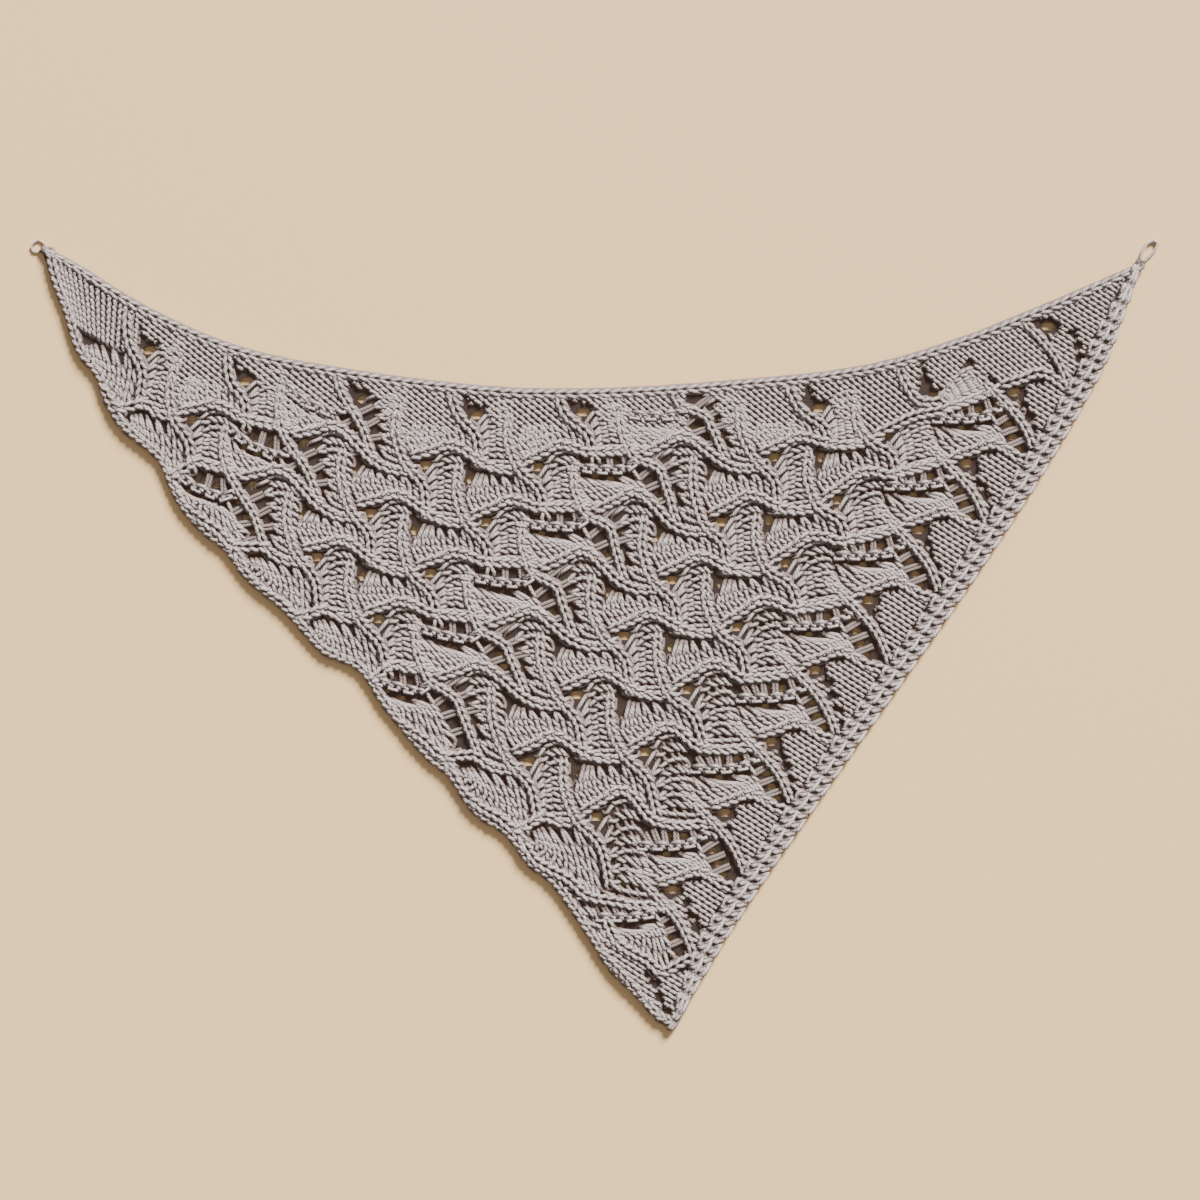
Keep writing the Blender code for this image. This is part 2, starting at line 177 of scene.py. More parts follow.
stitch = {
    "yarn": 1.15,  # radius
    "points": 10,  # of the yarn's path in one stitch
    "lean": 0.18,  # of the legs to both sides, as a share of a wale
    "bandLean": 1.25,  # times lean, in chains of one wale
    "edgeLean": 1.5,
    "pinch": -0.8,  # times lean, where a pulled first row draws its loops together
    "slant": 0.17,  # of the legs in the blocks, as a share of a wale
    "clear": 2.4,  # radius round a hole in a field of stitches
    "reach": 0.8,  # of a loop up and down, in rows
    "depth": 0.85,  # of a loop to front and back
    "uneven": 0.9,
    "sides": 6,  # of the yarn
    "floor": 0.05,  # lowest a yarn may lie
}
yarns = {}  # piece name: runs of yarn


def layRows(piece, surface, wales, rows, pull=1.0, purl=False, girth=1.0, tone=0.0, within=None, lean=1.0,
            slant=0.0, clear=()):
    # Rows of stitches on a surface(s, t): s across the wales, t the way the rows are worked.
    # Only what falls within all the loops is knitted, or within the cloth where no loops are given
    count = stitch["points"] * wales
    s = np.arange(count + 1) / count
    every = []
    for row in range(rows):
        part = s if row % 2 == 0 else s[::-1]
        level = np.full_like(part, (row + 0.5) / rows)
        every.append(np.stack([part, level, np.full_like(part, row)], axis=-1))
    st = np.concatenate(every)
    s, t, row = st.T
    tiny = 1e-3
    course = (surface(s + tiny, t) - surface(s - tiny, t)) / (2 * tiny * wales)
    wale = (surface(s, t + tiny) - surface(s, t - tiny)) / (2 * tiny * rows)
    phase = 2 * math.pi * s * wales
    pulled = (row == 0) & (np.cos(phase) > 0) & (pull > 1)
    wale = wale * np.where(pulled, pull, 1.0)[:, None] + course * slant / stitch["reach"]
    course = course * lean * np.where(pulled, stitch["pinch"] / lean, 1.0)[:, None]
    spot = surface(s, t)
    run = {
        "spot": spot, "course": course, "wale": wale, "phase": phase,
        "face": np.full(len(s), -1.0 if purl else 1.0), "girth": np.full(len(s), girth),
        "tone": np.full(len(s), tone), "within": [clothLoop] if within is None else within, "clear": clear,
    }
    yarns.setdefault(piece, []).append(run)


def throughSides(sides, heights):
    # Surface through the sides of a block; t runs from the first side to the last, s along each side.
    # heights has a pair for each side: where s is 0 and where s is 1
    def surface(s, t):
        stack = np.stack([curveAt(side, s) for side in sides], axis=1)
        rise = np.stack([a * (1 - s) + b * s for a, b in heights], axis=1)[:, :, None]
        return curveThrough(np.concatenate([stack, rise], axis=2), t)
    return surface


def alongPath(path, width, height, skew=0.0):
    # Strip of a width along a path; skew is how much further along one side is than the other
    even = evenPath(path)
    tangent = np.gradient(even[:, :2], axis=0)
    tangent /= np.linalg.norm(tangent, axis=1)[:, None]
    normal = np.stack([tangent[:, 1], -tangent[:, 0]], axis=-1)
    share = np.linspace(0, 1, len(even))

    def surface(s, t):
        centre = np.stack([np.interp(t, share, even[:, n]) for n in range(2)], axis=-1)
        side = np.stack([np.interp(t, share, normal[:, n]) for n in range(2)], axis=-1)
        ahead = np.stack([np.interp(t, share, tangent[:, n]) for n in range(2)], axis=-1)
        past = (t - np.clip(t, 0, 1))[:, None] * pathLength(even)
        wide = np.interp(t, np.linspace(0, 1, len(width)), width)[:, None]
        z = np.interp(t, np.linspace(0, 1, len(height)), height)
        past = past + (s - 0.5)[:, None] * skew
        return np.column_stack([centre + ahead * past + side * (s - 0.5)[:, None] * wide, z])
    return surface


block = {  # sides of the blocks in millimetres from their corner, each side with its heights at both ends
    "upright": [
        [(-4.5, 20.0), (5.0, 19.5), (24.0, 18.5)],
        [(-9.5, 12.0), (5.5, 13.0), (24.5, 11.0)],
        [(-7.0, 5.0), (0.0, 5.5), (6.0, 7.5), (11.0, 9.0), (17.5, 7.5), (24.0, 3.5)],
    ],
    "uprightHeights": [(2.3, 2.3), (2.5, 2.5), (2.8, 2.8)],
    "uprightWales": 6, "uprightRows": 4, "uprightPull": 1.9,
    "underLace": 2.0,  # how much lower an upright block starts under a lace tier
    "edgeMiddle": [(-6.0, 17.0), (7.5, 9.5), (23.5, 5.0)], "edgeEnd": (22.0, -8.0), "edgeGap": 0.5,
    "level": [
        [(0.5, -4.5), (3.0, -12.0), (2.5, -20.0), (-1.0, -26.5)],
        [(7.5, 5.5), (8.5, -8.0), (8.0, -17.0), (7.0, -28.5)],
        [(14.0, 8.0), (14.5, -7.0), (14.5, -18.0), (14.0, -29.0)],
        [(19.5, 7.0), (18.5, -8.0), (19.5, -19.0), (22.5, -28.5)],
    ],
    "levelHeights": [(1.9, 2.6), (2.0, 2.9), (2.2, 3.0), (2.2, 3.0)],
    "levelWales": 6, "levelRows": 5, "levelPull": 1.7,
    "levelOfLace": [
        [(3.5, 1.5), (8.0, -7.0), (9.5, -15.0), (8.0, -26.5)],
        [(9.0, 7.5), (12.5, -6.0), (13.0, -16.0), (12.0, -28.5)],
        [(15.0, 8.0), (16.5, -6.5), (16.5, -18.0), (16.5, -29.0)],
        [(21.5, 6.0), (21.5, -8.0), (20.0, -19.0), (22.5, -28.5)],
    ],
    "levelOut": [  # in the last tier, outline from the corner out to the right edging
        (38.0, -0.5), (24.0, 2.0), (12.0, 5.0), (6.0, 4.0), (5.0, -3.0), (-1.5, -4.0), (0.5, -10.0),
        (4.5, -16.0), (8.0, -23.0), (11.0, -31.0), (10.0, -40.0), (22.0, -28.0), (30.0, -18.0),
        (38.0, -9.0),
    ],
    "levelAtTip": [
        (48.0, 34.0), (-8.0, 14.0), (-4.0, 4.0), (5.0, 3.0), (5.0, -3.0), (-1.5, -4.0), (0.5, -10.0),
        (4.5, -16.0), (8.0, -23.0), (11.0, -31.0), (10.0, -40.0), (30.0, -18.0), (44.0, 8.0),
    ],
    "levelAtEdge": [  # beside the left edge no corner stays open
        (38.0, -3.0), (27.0, -5.0), (16.0, -5.0), (8.0, 1.0), (0.0, 5.0), (-8.0, 11.0), (-14.0, 2.0),
        (-6.0, -12.0), (4.5, -24.0), (11.0, -40.0), (22.0, -28.0), (30.0, -18.0), (38.0, -9.0),
    ],
    "outTurn": -33.0, "outPitch": (4.7, 4.0), "outHeight": 2.5,
    "seam": [
        (-12.0, 28.0), (-14.0, 16.5), (-13.0, 9.0), (-10.5, 1.5), (-7.0, -3.5), (-3.0, -7.5), (-0.5, -12.0),
        (0.0, -18.5), (0.0, -26.0),
    ],
    "seamOut": [
        (-22.0, 10.0), (-16.0, 5.5), (-11.0, 0.5), (-5.0, -5.5), (-0.5, -10.5), (3.5, -15.5), (7.0, -22.0),
        (10.5, -31.0),
    ],
    "seamWidth": 5.6, "seamPitch": 4.3, "seamHeights": [2.6, 3.2, 3.5, 3.5, 3.2, 2.7],
    "ridge": [(-6.5, 3.5), (0.0, 5.5), (6.0, 7.5), (11.0, 9.5), (17.5, 8.0)],
    "ridgeEnds": {  # by the tier: above a lace tier, a lace tier, the last one, a plain one
        "above": [(24.0, 4.5), (30.0, 3.5), (37.5, 2.5), (45.0, 2.0), (53.0, 0.5)],
        "lace": [(24.0, 2.5), (30.5, -3.5), (37.5, -7.0), (45.0, -8.0), (53.0, -7.0)],
        "out": [(24.0, 3.5), (30.0, 1.5), (38.0, -1.0)],
        "plain": [(24.0, 3.5), (30.5, -1.0), (37.5, -3.8), (45.0, -4.8), (53.0, -4.0)],
    },
    "ridgeAtEdge": [(-12.0, 21.0), (-7.5, 10.5), (0.0, 5.0), (8.0, 1.0), (16.0, -5.0)],
    "ridgeWidth": 5.8, "ridgePitch": 4.4, "ridgeHeights": [3.0, 3.3, 3.4, 3.2, 3.0, 2.8],
    "shortened": 5.5,  # how much higher a level block ends above a lace tier
    "drop": (0.45, 0.17),  # how much lower again above the last tier, for each step and its square
    "dropShares": (0.75, 0.95, 1.0, 1.0),  # of that, from the left side of a block to its right
    "lengthened": 3.5,  # how much lower it ends in a lace tier
}

# Holes of the lace tiers, from their corner: a row over the purl ridge, a row that is picked up
# below it, a column and the ones beside it
lace = {
    2: {"start": (-12.0, 23.5), "over": [(1.5, 23.5), (9.0, 21.0), (16.0, 20.5)],
        "pickup": [(-5.5, 18.5), (1.0, 15.5), (8.0, 13.0)],
        "column": [(18.5, 15.5), (22.5, 9.5), (24.5, 3.0), (27.5, -4.5)],
        "side": [(26.0, 21.0), (29.0, 15.5), (33.0, 9.0), (34.5, 3.0)]},
    5: {"start": (-15.0, 22.0), "over": [(1.0, 27.0), (8.0, 26.0), (15.5, 26.0)],
        "pickup": [(-7.5, 20.0), (0.0, 18.0), (7.0, 17.0)],
        "column": [(19.0, 21.0), (23.0, 15.0), (25.0, 9.0), (27.5, 1.5)],
        "side": [(26.5, 29.5), (30.5, 23.0), (33.0, 17.0), (34.5, 10.5)]},
    8: {"start": (-17.0, 17.0), "over": [(-1.5, 27.0), (6.0, 27.0), (15.5, 30.0)],
        "before": [(-13.0, 23.0), (-9.5, 25.0), (-5.5, 26.5), (-1.5, 27.0)],
        "pickup": [(-10.0, 17.0), (-2.5, 17.5), (5.0, 18.0)],
        "column": [(17.5, 25.0), (21.0, 19.5), (23.5, 13.0), (26.0, 7.0)],
        "side": [(28.5, 29.0), (31.0, 23.0), (33.0, 16.5), (36.0, 9.0)]},
}
laceLook = {
    "first": (0.5, -2.4),  # from the picked-up holes to the first row of the block
    "beforeColumn": [(-3.0, -2.4), (-3.8, -4.0)],  # from the column's upper holes to the block
    "middle": [(-11.0, 11.0), (5.0, 12.5)], "lastInset": 3.5, "lastHeight": 3.5,
    "outLeft": [(-20.0, 13.5), (-16.0, 7.0), (-11.0, 2.0)],  # in the last tier
    "pull": 2.7,
    "purlWidth": 3.6, "purlPitch": 3.9, "purlSkew": 3.0, "purlHeights": [2.6, 3.2, 3.2],
    "purlRise": 5.0,  # over the start hole
    "purlEnd": (3.5, 2.0),  # past the column's first hole
    "bar": 5.0, "barHeight": 2.6, "apart": 1.5, "barGirth": 0.9, "barTone": 0.5,
    "chainWidth": 4.4, "chainEnd": (6.0, -27.0),
}
wedge = {
    "foot": [(-38.0, -17.0), (-30.0, -20.5), (-20.0, -15.0), (-11.0, -9.0), (-5.0, -3.0)],
    "longFoot": [(-38.0, -17.0), (-28.0, -18.5), (-20.0, -15.0), (-11.0, -16.5), (-3.0, -19.5)],
    "outFoot": [
        (-40.0, -16.0), (-33.0, -24.0), (-24.0, -28.5), (-17.0, -26.5), (-10.0, -24.5), (-3.0, -23.5),
        (6.0, -28.0),
    ],
    "from": -8.0, "to": -7.0, "inset": 4.5,
    "pastHole": [(-2.0, 5.0), (4.5, 3.5), (6.0, -2.0)], "beforeHole": [(-8.0, 5.5), (-9.0, 1.0)],
    "turn": -39.0, "pitch": (4.7, 3.9), "height": 2.4,  # pitch across and along the slant
    "longFrom": 7,  # from this tier on, the wedge runs down to the ridge of the first whole block
    "tip": [(-271.0, 187.5), (-258.0, 179.5), (-242.0, 170.5), (-227.0, 161.0)],
    "tipFoot": [(-263.0, 155.5), (-257.0, 152.0), (-249.0, 147.0), (-240.0, 142.0), (-228.0, 138.5)],
    "tipWales": 8, "tipRows": 9, "tipHeights": [(2.2, 2.2), (2.6, 2.4)],
}


def moved(points, dx, dy):
    return [(x + dx, y + dy) for x, y in points]


def onCloth(m, k, points):
    if m == lastTier:  # beside the right edging the blocks keep their plain size
        return place(m, k) + np.array(points)
    return fromCorner(m, k, *np.array(points).T)


def laySeamBand(piece, path, width, pitch, heights, skew=0.0, **options):
    rows = max(2, round(pathLength(evenPath(path)) / pitch))
    layRows(piece, alongPath(path, [width], heights, skew), 1, rows, lean=stitch["bandLean"], **options)


def layPlain(piece, points, height, girth=1.0, tone=0.0, within=None):
    # One strand that follows the points
    line = evenPath(points, 1.5)
    count = len(line)
    yarns.setdefault(piece, []).append({
        "spot": np.column_stack([line, np.full(count, height)]), "course": np.zeros((count, 3)),
        "wale": np.zeros((count, 3)), "phase": np.full(count, math.pi / 4), "face": np.ones(count),
        "girth": np.full(count, girth), "tone": np.full(count, tone),
        "within": [clothLoop] if within is None else within, "clear": (),
    })


def layBars(piece, m, k, holes):
    # Pairs of strands between the holes of one line, across it
    spots = np.array(holes)
    step = np.diff(spots, axis=0)
    along = step / np.linalg.norm(step, axis=1)[:, None]
    across = np.stack([along[:, 1], -along[:, 0]], axis=-1) * laceLook["bar"]
    middles = (spots[:-1] + spots[1:]) / 2
    for middle, one, side in zip(middles, along, across):
        for sign in (-0.5, 0.5):
            start = middle + one * sign * laceLook["apart"]
            bar = onCloth(m, k, [start - side, start, start + side])
            if insideLoop(bar, clothLoop).all():
                layPlain(piece, bar, laceLook["barHeight"], laceLook["barGirth"], laceLook["barTone"])


def layField(piece, outline, turn, pitch, height, clear=()):
    # Even stitches over an area, kept inside its outline and off the clear spots.
    # The wales run the way of turn
    turn = math.radians(turn)
    down = np.array([math.cos(turn), math.sin(turn)])
    axes = np.array([[-down[1], down[0]], down])
    reach = outline @ axes.T
    low, high = reach.min(axis=0), reach.max(axis=0)
    wales, rows = (round(size / step) for size, step in zip(high - low, pitch))

    def surface(s, t):
        spot = (low + np.stack([s, t], axis=-1) * (high - low)) @ axes
        return np.column_stack([spot, np.full(len(spot), height)])
    layRows(piece, surface, wales, rows, within=[clothLoop, outline], clear=clear)


def halfway(a, b):
    return tuple((np.array(a) + b) / 2)


def purlPath(holes):
    # Between the holes over the purl ridge and the ones picked up below it, and past the column
    topOfColumn = holes["column"][0]
    path = moved([holes["start"]], 0, laceLook["purlRise"])
    path += [halfway(a, b) for a, b in zip(holes["over"], holes["pickup"])]
    return path + [halfway(holes["over"][-1], topOfColumn)] + moved([topOfColumn], *laceLook["purlEnd"])


def knitUpright(m, k, piece):
    sides = [list(side) for side in block["upright"]]
    rows = block["uprightRows"]
    if m - 1 in lace:
        sides[0] = moved(sides[0], 0, -block["underLace"])
    if k == m + 1:
        sides[2] = moved(block["ridgeAtEdge"], block["edgeGap"], block["edgeGap"]) + [block["edgeEnd"]]
        sides[1] = list(block["edgeMiddle"])
        rows += 1
    if m in lace:
        holes = lace[m]
        first, second = laceLook["beforeColumn"]
        sides[0] = moved([holes["start"]] + holes["pickup"], *laceLook["first"])
        sides[0] += moved(holes["column"][:1], *first)
        sides[1] = laceLook["middle"] + moved(holes["column"][1:2], *second)
        sides[2][-1] = (holes["column"][-1][0] - laceLook["lastInset"], laceLook["lastHeight"])
        if m == lastTier:
            for side, left in zip(sides, laceLook["outLeft"]):
                side[0] = left
        laySeamBand(piece, onCloth(m, k, purlPath(holes)), laceLook["purlWidth"], laceLook["purlPitch"],
                    laceLook["purlHeights"], laceLook["purlSkew"], purl=True)
        for line in ("before", "over", "column") if m == lastTier else ("over", "column", "side"):
            layBars(piece, m, k, holes[line])
    layRows(piece, throughSides([onCloth(m, k, side) for side in sides], block["uprightHeights"]),
            block["uprightWales"], rows, pull=laceLook["pull"] if m in lace else block["uprightPull"],
            slant=stitch["slant"])


def dropOf(m, k):
    first, second = block["drop"]
    return first * k + second * k * k if m == lastTier - 1 else 0.0


def knitLevel(m, k, piece):
    if m == lastTier:
        outline = place(m, k) + block["levelAtEdge" if k == m + 1 else "levelOut" if k else "levelAtTip"]
        sideHoles = place(m, k + 1) + lace[m]["side"]
        layField(piece, outline, block["outTurn"], block["outPitch"], block["outHeight"], sideHoles)
        return
    sides = [list(side) for side in block["levelOfLace" if m in lace else "level"]]
    rows = block["levelRows"]
    raised = block["shortened"] if m + 1 in lace else -block["lengthened"] if m in lace else 0.0
    for side, share in zip(sides, block["dropShares"]):
        for n in (1, 2, 3):
            side[n] = (side[n][0], side[n][1] + (raised - dropOf(m, k) * share) * n / 3)
    wales = block["levelWales"] - (m + 1 in lace)
    layRows(piece, throughSides([onCloth(m, k, side) for side in sides], block["levelHeights"]), wales, rows,
            pull=block["levelPull"], slant=stitch["slant"])


def knitSeam(m, k, piece):
    path, width = block["seam"], block["seamWidth"]
    if m == lastTier:
        path, width = block["seamOut"], laceLook["chainWidth"]
    elif m in lace:  # between the column of holes and the ones beside it
        middle = (np.array(lace[m]["column"]) + lace[m]["side"]) / 2 + lattice["along"]
        path = block["seam"][:4] + [tuple(spot) for spot in middle[1:]] + [laceLook["chainEnd"]]
        width = laceLook["chainWidth"]
    laySeamBand(piece, onCloth(m, k, path), width, block["seamPitch"], block["seamHeights"])


def knitRidge(m, k, piece):
    kind = "out" if m == lastTier else "above" if m + 1 in lace else "lace" if m in lace else "plain"
    ends = block["ridgeEnds"][kind]
    shares = block["dropShares"] + (1.0,)
    ends = [(x, y - dropOf(m, k - 1) * share) for (x, y), share in zip(ends, shares)]
    path = block["ridge"] + ends
    if k == m + 1:
        path = block["ridgeAtEdge"] + ends[1:]
    # The ridges' yarn is painted lighter by its tone: a painted highlight on the raised ridges
    laySeamBand(piece, onCloth(m, k, path), block["ridgeWidth"], block["ridgePitch"], block["ridgeHeights"],
                tone=0.25)


def knitTopWedge(m, piece):
    # Slanted stockinette between the top edging and the first blocks of two tiers
    if m == 0:
        surface = throughSides([wedge["tip"], wedge["tipFoot"]], wedge["tipHeights"])
        layRows(piece, surface, wedge["tipWales"], wedge["tipRows"])
        return
    last, here = place(m - 1, 0), place(m, 0)
    x = np.linspace(last[0] + wedge["from"], here[0] + wedge["to"], 9)
    y = np.interp(x, topPath[:, 0], topPath[:, 1]) - wedge["inset"]
    foot = "outFoot" if m == lastTier else "longFoot" if m >= wedge["longFrom"] else "foot"
    foot = onCloth(m, 0, wedge[foot])
    outline = np.vstack([np.column_stack([x, y]), here + wedge["beforeHole"], foot[::-1],
                         (last + wedge["pastHole"])[::-1]])
    layField(piece, outline, wedge["turn"], wedge["pitch"], wedge["height"])


edging = {
    "topWidth": 5.5, "topPitch": 5.5, "topHeight": 2.5, "topTone": 0.1,
    "topChain": (0.55, 0.8),  # where its middle is and how wide it is, as shares of the width
    "topStrands": [(0.16, 2.3, 0.85, 0.35), (0.93, 2.6, 0.8, 0.2)],  # share, height, girth, tone
    "rightWidth": 11.0, "rightPitch": 5.4, "rightSkew": 4.5, "rightGirth": 1.2,
    "rightChains": [(0.27, 2.4), (0.74, 2.8)],  # share, height
    "rightChainWidth": 0.5,
    "underTop": 0.9, "underRight": 0.95,  # how far in the knitted blocks reach, as shares of the width
    "tipWidth": 2.5, "taper": 45.0,
    "leftInset": 2.2, "leftChain": 4.4, "leftPitch": 4.2, "leftHeight": 2.6,
    "loopInset": 1.6,  # of what is knitted, from the left edge
}

topPath, rightPath, leftPath = (evenPath(edges[name]) for name in ("top", "right", "left"))


def taperedWidth(path, full):
    run = np.linspace(0, pathLength(path), len(path))
    share = np.clip(np.minimum(run, run[-1] - run) / edging["taper"], 0, 1)
    return edging["tipWidth"] + (full - edging["tipWidth"]) * share


topWidth = taperedWidth(topPath, edging["topWidth"])
rightWidth = taperedWidth(rightPath, edging["rightWidth"])
clothLoop = np.vstack([
    sideways(topPath, topWidth * edging["underTop"]), sideways(rightPath, rightWidth * edging["underRight"]),
    sideways(leftPath[::-1], edging["loopInset"]),
])

pieceOfTier = [
    "knitUpperLeft", "knitUpperLeft", "knitUpperLeft", "knitUpperLeft", "knitMiddleLeft", "knitMiddle",
    "knitMiddleRight", "knitLowerRight", "knitRightTiers",
]
for m, piece in enumerate(pieceOfTier):
    knitTopWedge(m, piece)
    for k in range(m + 2):
        if k > (1 if m >= wedge["longFrom"] else 0):
            knitUpright(m, k, piece)
        if k > 0:
            knitRidge(m, k, piece)
        knitSeam(m, k, piece)
        knitLevel(m, k, piece)
print("blocks laid")


def smoothed(path, reach=5):
    wider = np.pad(path, ((reach, reach), (0, 0)), mode="reflect", reflect_type="odd")
    share = np.full(2 * reach + 1, 1 / (2 * reach + 1))
    return np.stack([np.convolve(wider[:, n], share, "valid") for n in range(2)], axis=-1)


def layStrip(piece, path, inset, width, pitch, height, skew=0.0, **options):
    line = smoothed(sideways(path, inset))
    rows = round(pathLength(line) / pitch)
    layRows(piece, alongPath(line, width, height, skew), 1, rows, within=[], lean=stitch["edgeLean"],
            **options)


for share, height, girth, tone in edging["topStrands"]:
    layPlain("topEdging", sideways(topPath, topWidth * share), height, girth, tone, [])
middle, wide = edging["topChain"]
layStrip("topEdging", topPath, topWidth * middle, topWidth[::20] * wide, edging["topPitch"],
         [edging["topHeight"]], tone=edging["topTone"])
for share, height in edging["rightChains"]:
    layStrip("rightEdging", rightPath, rightWidth * share, rightWidth[::20] * edging["rightChainWidth"],
             edging["rightPitch"], [height], edging["rightSkew"], purl=True, girth=edging["rightGirth"])
layStrip("leftSelvedge", leftPath[::-1], edging["leftInset"], [edging["leftChain"]], edging["leftPitch"],
         [edging["leftHeight"]])
print("edges laid")


class wire:
    # A socket that takes part in arithmetic; each operation adds a Math node
    def __init__(self, graph, socket):
        self.graph, self.socket = graph, socket

    def __add__(self, other):
        return self.graph.maths("ADD", self, other)

    def __sub__(self, other):
        return self.graph.maths("SUBTRACT", self, other)

    def __mul__(self, other):
        return self.graph.maths("MULTIPLY", self, other)

    def __rsub__(self, other):
        return self.graph.maths("SUBTRACT", other, self)

    __radd__ = __add__
    __rmul__ = __mul__


class nodeGraph:
    def __init__(self, tree):
        self.tree = tree

    def node(self, kind, settings=None, inputs=None, out=0):
        made = self.tree.nodes.new(kind)
        for name, value in (settings or {}).items():
            setattr(made, name, value)
        for name, value in (inputs or {}).items():
            self.feed(made.inputs[name], value)
        return wire(self, made.outputs[out]) if len(made.outputs) else made

    def feed(self, socket, value):
        if isinstance(value, wire):
            self.tree.links.new(value.socket, socket)
        elif isinstance(value, bpy.types.NodeSocket):
            self.tree.links.new(value, socket)
        else:
            socket.default_value = value

    def maths(self, operation, a, b=None):
        inputs = {0: a} if b is None else {0: a, 1: b}
        return self.node("ShaderNodeMath", {"operation": operation}, inputs)

    def vectors(self, operation, a, b):
        name = "Scale" if operation == "SCALE" else 1
        return self.node("ShaderNodeVectorMath", {"operation": operation}, {0: a, name: b})

    def mix(self, factor, a, b):
        return self.node("ShaderNodeMix", {"data_type": "RGBA"}, {0: factor, 6: a, 7: b}, out=2)

    def ramp(self, factor, stops):
        made = self.tree.nodes.new("ShaderNodeValToRGB")
        for i, (at, colour) in enumerate(stops):
            element = made.color_ramp.elements[i] if i < 2 else made.color_ramp.elements.new(at)
            element.position, element.color = at, colour
        self.feed(made.inputs[0], factor)
        return wire(self, made.outputs[0])


def makeYarnTree():
    tree = bpy.data.node_groups.new("yarnStitches", "GeometryNodeTree")
    face = tree.interface
    face.new_socket("Geometry", in_out="INPUT", socket_type="NodeSocketGeometry")
    for name in ("Yarn radius", "Lean", "Reach", "Depth", "Unevenness"):
        face.new_socket(name, in_out="INPUT", socket_type="NodeSocketFloat")
    face.new_socket("Sides", in_out="INPUT", socket_type="NodeSocketInt")
    face.new_socket("Seed", in_out="INPUT", socket_type="NodeSocketInt")
    face.new_socket("Material", in_out="INPUT", socket_type="NodeSocketMaterial")
    face.new_socket("Geometry", in_out="OUTPUT", socket_type="NodeSocketGeometry")
    graph = nodeGraph(tree)
    given = tree.nodes.new("NodeGroupInput").outputs

    def named(name, kind="FLOAT"):
        return graph.node("GeometryNodeInputNamedAttribute", {"data_type": kind}, {"Name": name})

    phase = named("phase")
    swing = graph.maths("SINE", phase * 2.0) * wire(graph, given["Lean"])
    rise = graph.maths("COSINE", phase) * wire(graph, given["Reach"]) * -1.0
    lift = graph.maths("COSINE", phase * 2.0) * wire(graph, given["Depth"]) * named("face") * -1.0
    sway = graph.vectors("SCALE", named("course", "FLOAT_VECTOR"), swing)
    climb = graph.vectors("SCALE", named("wale", "FLOAT_VECTOR"), rise)
    up = graph.node("ShaderNodeCombineXYZ", {}, {"Z": lift})
    spot = graph.node("GeometryNodeInputPosition")
    seed = wire(graph, given["Seed"])
    noise = graph.node("ShaderNodeTexNoise", {"noise_dimensions": "4D"},
                       {"Vector": spot, "W": seed * 3.7, "Scale": 160.0, "Detail": 2.0}, out=1)
    shake = graph.vectors("SCALE", graph.vectors("SUBTRACT", noise, (0.5, 0.5, 0.5)),
                          wire(graph, given["Unevenness"]))
    offset = graph.vectors("ADD", graph.vectors("ADD", sway, climb), graph.vectors("ADD", up, shake))
    curve = graph.node("GeometryNodeMeshToCurve", {}, {"Mesh": given["Geometry"]})
    curve = graph.node("GeometryNodeSetPosition", {}, {"Geometry": curve, "Offset": offset})
    curve = graph.node("GeometryNodeSetCurveRadius", {}, {"Curve": curve, "Radius": named("girth")})
    along = graph.node("GeometryNodeSplineParameter", out=1)
    curve = graph.node("GeometryNodeStoreNamedAttribute", {"data_type": "FLOAT", "domain": "POINT"},
                       {"Geometry": curve, "Name": "along", "Value": along})
    ring = graph.node("GeometryNodeCurvePrimitiveCircle", {"mode": "RADIUS"},
                      {"Resolution": given["Sides"], "Radius": given["Yarn radius"]})
    around = graph.node("GeometryNodeSplineParameter")
    ring = graph.node("GeometryNodeStoreNamedAttribute", {"data_type": "FLOAT", "domain": "POINT"},
                      {"Geometry": ring, "Name": "around", "Value": around * (2 * math.pi)})
    tube = graph.tree.nodes.new("GeometryNodeCurveToMesh")
    graph.feed(tube.inputs["Curve"], curve)
    graph.feed(tube.inputs["Profile Curve"], ring)
    if "Scale" in tube.inputs:
        graph.feed(tube.inputs["Scale"], named("girth"))
    tube.inputs["Fill Caps"].default_value = True
    tube = wire(graph, tube.outputs[0])
    turn = named("around")
    ply = graph.node("ShaderNodeCombineXYZ", {},
                     {"X": graph.maths("COSINE", turn), "Y": graph.maths("SINE", turn), "Z": named("along")})
    tube = graph.node("GeometryNodeStoreNamedAttribute", {"data_type": "FLOAT_VECTOR", "domain": "POINT"},
                      {"Geometry": tube, "Name": "ply", "Value": ply})
    # Painted light and shade for the yarn's colour: lighter where a loop stands forward and where the tube
    # faces up
    normal = graph.node("ShaderNodeSeparateXYZ", {}, {0: graph.node("GeometryNodeInputNormal")}, out=2)
    crown = 0.5 - graph.maths("COSINE", phase * 2.0) * named("face") * 0.5
    tube = graph.node("GeometryNodeStoreNamedAttribute", {"data_type": "FLOAT", "domain": "POINT"},
                      {"Geometry": tube, "Name": "paintedLight", "Value": crown * 0.55 + normal * 0.45})
    for name in ("phase", "course", "wale", "face", "girth", "along", "around"):
        tube = graph.node("GeometryNodeRemoveAttribute", {}, {"Geometry": tube, "Name": name})
    tube = graph.node("GeometryNodeSetShadeSmooth", {}, {"Geometry": tube})
    tube = graph.node("GeometryNodeRealizeInstances", {}, {"Geometry": tube})
    tube = graph.node("GeometryNodeSetMaterial", {}, {"Geometry": tube, "Material": given["Material"]})
    end = tree.nodes.new("NodeGroupOutput")
    graph.feed(end.inputs["Geometry"], tube)
    return tree


